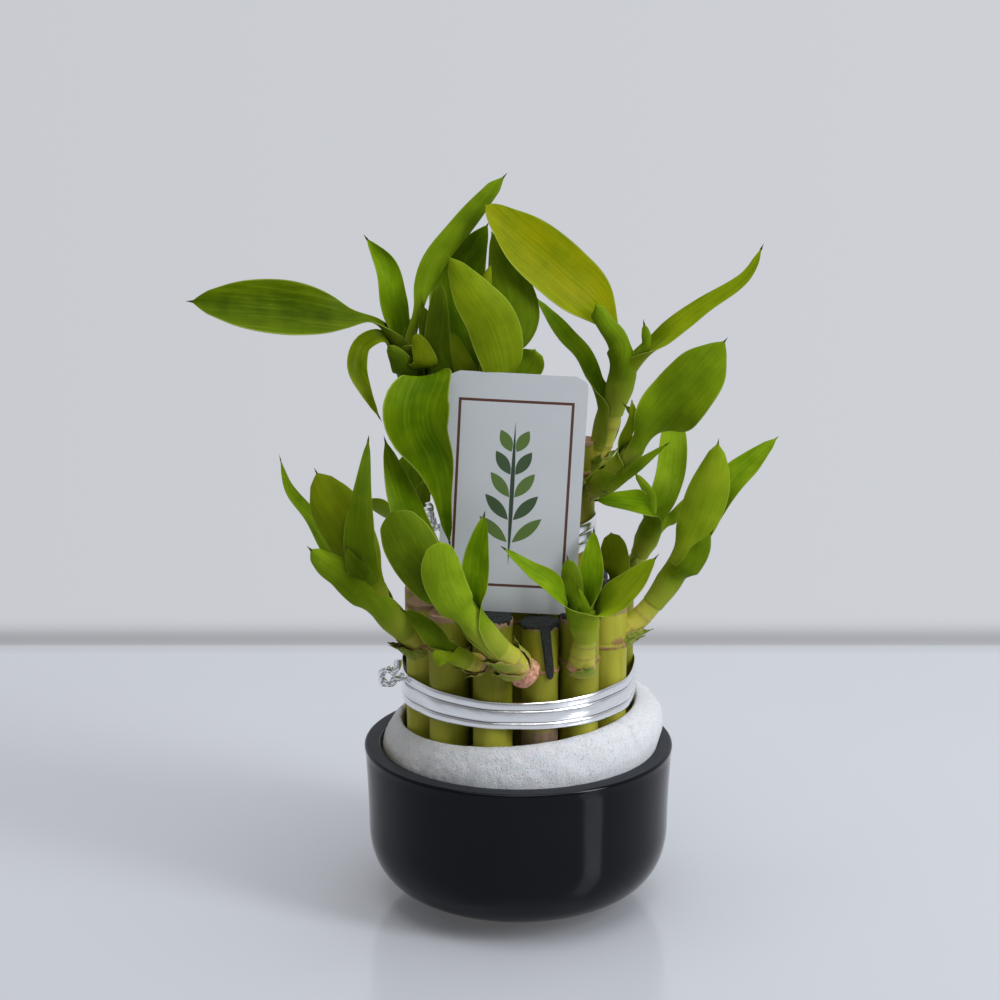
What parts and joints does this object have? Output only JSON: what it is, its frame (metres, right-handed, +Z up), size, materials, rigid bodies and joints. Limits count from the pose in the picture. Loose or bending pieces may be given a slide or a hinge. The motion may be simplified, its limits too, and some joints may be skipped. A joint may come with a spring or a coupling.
{
  "type": "potted lucky bamboo",
  "caption": "Two-tier bundle of cut lucky bamboo stalks with leafy side shoots, tied with metal ribbon and wedged by a foam collar in a low round black glazed pot, with a plain card tag.",
  "frame": {"origin": "middle of the pot's flat foot, on the surface that it stands on", "axes": "+Z up along the pot's axis; -Y is the front, where the tag faces; +X is to the right seen from the front"},
  "size_m": [0.191, 0.1221, 0.25],
  "materials": {
    "black_glaze": "glossy near-black glaze, satin on the lip, unglazed tan foot",
    "white_foam": "matt white expanded foam with fine pores",
    "metal_ribbon": "bright metallic ribbon with pressed ridges and a creased twist",
    "tag_card": null,
    "stalk": "satin yellow-olive cane with tan node rings and dark wax on the cut tops",
    "leaf": "satin fresh green blade with fine lengthwise veins and a pale margin"
  },
  "bodies": {
    "root": {"pot": "black_glaze", "foam_collar": "white_foam", "lower_tie": "metal_ribbon", "upper_tie": "metal_ribbon", "tag": "tag_card", "core_stalk": "stalk", "outer_stalk_01": "stalk", "outer_stalk_02": "stalk", "outer_stalk_03": "stalk", "outer_stalk_04": "stalk", "outer_stalk_05": "stalk", "outer_stalk_06": "stalk", "outer_stalk_07": "stalk", "outer_stalk_08": "stalk", "outer_stalk_09": "stalk", "outer_stalk_10": "stalk", "outer_stalk_11": "stalk", "outer_stalk_12": "stalk", "inner_stalk_1": "stalk", "inner_stalk_2": "stalk", "inner_stalk_3": "stalk", "inner_stalk_4": "stalk", "inner_stalk_5": "stalk", "inner_stalk_6": "stalk", "inner_stalk_7": "stalk", "inner_stalk_8": "stalk", "leaf_left_low": "leaf", "leaf_left_broad": "leaf", "leaf_left_back": "leaf", "leaf_left_upright": "leaf", "leaf_front_broad": "leaf", "leaf_front_left": "leaf", "leaf_front_back": "leaf", "leaf_front_upright": "leaf", "leaf_front_right_left": "leaf", "leaf_front_right_broad": "leaf", "leaf_front_right_upright": "leaf", "leaf_right_broad": "leaf", "leaf_right_long": "leaf", "leaf_right_sheath": "leaf", "leaf_back_right_tall": "leaf", "leaf_back_right_low": "leaf", "leaf_top_right_folded": "leaf", "leaf_top_right_long": "leaf", "leaf_top_right_arching": "leaf", "leaf_top_right_narrow": "leaf", "leaf_mid_right_broad": "leaf", "leaf_top_left_long": "leaf", "leaf_top_left_upright": "leaf", "leaf_top_left_hanging": "leaf", "leaf_top_left_tall": "leaf", "leaf_top_left_drooping": "leaf", "leaf_top_centre_front": "leaf", "leaf_top_centre_back": "leaf", "leaf_top_centre_right": "leaf", "leaf_back_left_tall": "leaf", "leaf_back_left_low": "leaf", "leaf_back_tall": "leaf", "leaf_back_low": "leaf", "leaf_back_left_side": "leaf"}
  },
  "joints": []
}
